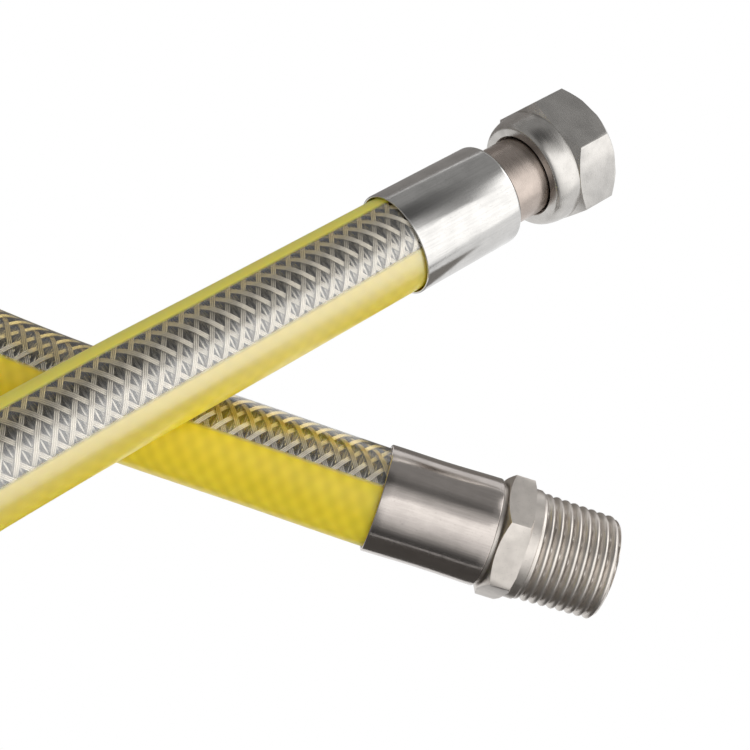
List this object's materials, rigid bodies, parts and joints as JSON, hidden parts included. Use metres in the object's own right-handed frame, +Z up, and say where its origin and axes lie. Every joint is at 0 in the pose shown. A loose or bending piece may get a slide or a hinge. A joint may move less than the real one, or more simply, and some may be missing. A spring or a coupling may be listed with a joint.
{
  "type": "flexible gas hose",
  "caption": "Sheathed, braided corrugated steel gas hose lying in a loop, with a loose union nut on one end and a fixed tapered threaded nipple on the other.",
  "frame": {"origin": "on the surface that the hose lies on, under the middle of the two end fittings", "axes": "+Z up; +X from the crossing of the two strands towards the fittings, midway between them; +Y across, towards the union nut's side"},
  "size_m": [0.4388, 0.2048, 0.0447],
  "materials": {
    "sheath": "glossy plastic sheath, yellow along one half of its round and clear along the other",
    "ferrule": "drawn stainless steel, smooth and bright",
    "fitting": "turned stainless steel with fine tool marks",
    "corrugated_tube": "thin formed stainless steel",
    "braid": "fine bright stainless wire",
    "washer": "pressed fibre, matt green"
  },
  "bodies": {
    "hose_assembly": {"hose": "sheath", "nut_end_ferrule": "ferrule", "thread_end_ferrule": "ferrule", "nut_end_corrugated_tube": "corrugated_tube", "thread_end_corrugated_tube": "corrugated_tube", "nut_end_braid": "braid", "thread_end_braid": "braid", "swivel_tail": "fitting", "threaded_nipple": "fitting"},
    "union_nut": {"union_nut": "fitting", "sealing_washer": "washer"}
  },
  "joints": [
    {"name": "nut_swivel", "type": "hinge", "parent": "hose_assembly", "child": "union_nut", "pos_m": [0.01272, 0.03646, 0.01561], "axis": [0.8907, 0.4229, -0.1668], "continuous": true}
  ]
}
